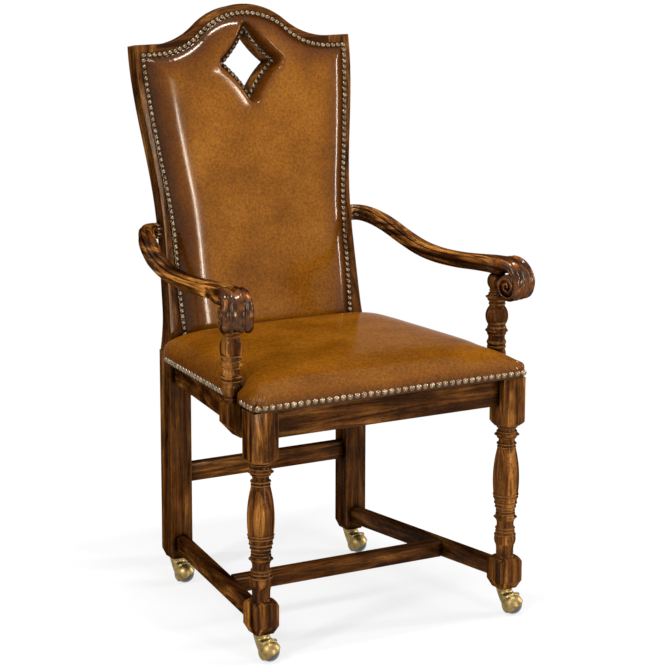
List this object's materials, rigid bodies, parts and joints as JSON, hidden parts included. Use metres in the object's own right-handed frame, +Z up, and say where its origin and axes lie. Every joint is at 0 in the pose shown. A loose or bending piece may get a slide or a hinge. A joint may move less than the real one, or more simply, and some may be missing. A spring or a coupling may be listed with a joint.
{
  "type": "high back armchair",
  "caption": "High back wooden armchair with leather seat and back, diamond cut-out in the bowed crest, scroll arms, turned front legs, stretchers and ball casters.",
  "frame": {"origin": "on the floor, under the middle of the chair's bounding box", "axes": "+Z up, the front of the chair looks along -Y, +X across the chair"},
  "size_m": [0.7198, 0.7025, 1.2187],
  "materials": {
    "walnut": "dark, hand rubbed, satin",
    "plain_wood": "raw",
    "saddle_leather": "glossy tan",
    "pad_foam": "soft padding",
    "webbing": "woven jute",
    "dust_cloth": "thin black cloth",
    "nail_brass": "pale antique brass",
    "caster_brass": "polished",
    "steel": "plain",
    "black_ball": "glossy"
  },
  "bodies": {
    "frame": {"arm_screws": "steel", "back_bottom_rail": "walnut", "back_leather_front": "saddle_leather", "back_leather_rear": "saddle_leather", "back_nails": "nail_brass", "back_pad": "pad_foam", "back_panel_board": "plain_wood", "caster_sockets": "steel", "crest_rail": "walnut", "cross_stretcher": "walnut", "diamond_liner": "walnut", "diamond_nails": "nail_brass", "front_seat_rail": "walnut", "left_arm": "walnut", "left_arm_post": "walnut", "left_back_post": "walnut", "left_front_leg": "walnut", "left_seat_rail": "walnut", "left_side_stretcher": "walnut", "post_screws": "steel", "rear_nails": "nail_brass", "rear_seat_rail": "walnut", "rear_stretcher": "walnut", "right_arm": "walnut", "right_arm_post": "walnut", "right_back_post": "walnut", "right_front_leg": "walnut", "right_seat_rail": "walnut", "right_side_stretcher": "walnut", "seat_corner_blocks": "plain_wood", "seat_dust_cover": "dust_cloth", "seat_frame": "plain_wood", "seat_leather": "saddle_leather", "seat_nails": "nail_brass", "seat_pad": "pad_foam", "seat_screws": "steel", "seat_webbing": "webbing"},
    "front_left_caster": {"front_left_caster_hood": "caster_brass", "front_left_caster_stem": "steel", "front_left_caster_axle": "caster_brass"},
    "front_left_ball": {"front_left_caster_ball": "black_ball"},
    "front_right_caster": {"front_right_caster_hood": "caster_brass", "front_right_caster_stem": "steel", "front_right_caster_axle": "caster_brass"},
    "front_right_ball": {"front_right_caster_ball": "black_ball"},
    "rear_left_caster": {"rear_left_caster_hood": "caster_brass", "rear_left_caster_stem": "steel", "rear_left_caster_axle": "caster_brass"},
    "rear_left_ball": {"rear_left_caster_ball": "black_ball"},
    "rear_right_caster": {"rear_right_caster_hood": "caster_brass", "rear_right_caster_stem": "steel", "rear_right_caster_axle": "caster_brass"},
    "rear_right_ball": {"rear_right_caster_ball": "black_ball"}
  },
  "joints": [
    {"name": "front_left_swivel", "type": "hinge", "parent": "frame", "child": "front_left_caster", "pos_m": [-0.285, -0.301, 0.052], "axis": [0, 0, 1], "continuous": true},
    {"name": "front_left_roll", "type": "hinge", "parent": "front_left_caster", "child": "front_left_ball", "pos_m": [-0.28053, -0.32725, 0.02], "axis": [0.4843, -0.2796, -0.829], "continuous": true},
    {"name": "front_right_swivel", "type": "hinge", "parent": "frame", "child": "front_right_caster", "pos_m": [0.285, -0.301, 0.052], "axis": [0, 0, 1], "continuous": true},
    {"name": "front_right_roll", "type": "hinge", "parent": "front_right_caster", "child": "front_right_ball", "pos_m": [0.28947, -0.32725, 0.02], "axis": [0.4843, -0.2796, -0.829], "continuous": true},
    {"name": "rear_left_swivel", "type": "hinge", "parent": "frame", "child": "rear_left_caster", "pos_m": [-0.215, 0.213, 0.052], "axis": [0, 0, 1], "continuous": true},
    {"name": "rear_left_roll", "type": "hinge", "parent": "rear_left_caster", "child": "rear_left_ball", "pos_m": [-0.21053, 0.18675, 0.02], "axis": [0.4843, -0.2796, -0.829], "continuous": true},
    {"name": "rear_right_swivel", "type": "hinge", "parent": "frame", "child": "rear_right_caster", "pos_m": [0.215, 0.213, 0.052], "axis": [0, 0, 1], "continuous": true},
    {"name": "rear_right_roll", "type": "hinge", "parent": "rear_right_caster", "child": "rear_right_ball", "pos_m": [0.21947, 0.18675, 0.02], "axis": [0.4843, -0.2796, -0.829], "continuous": true}
  ]
}
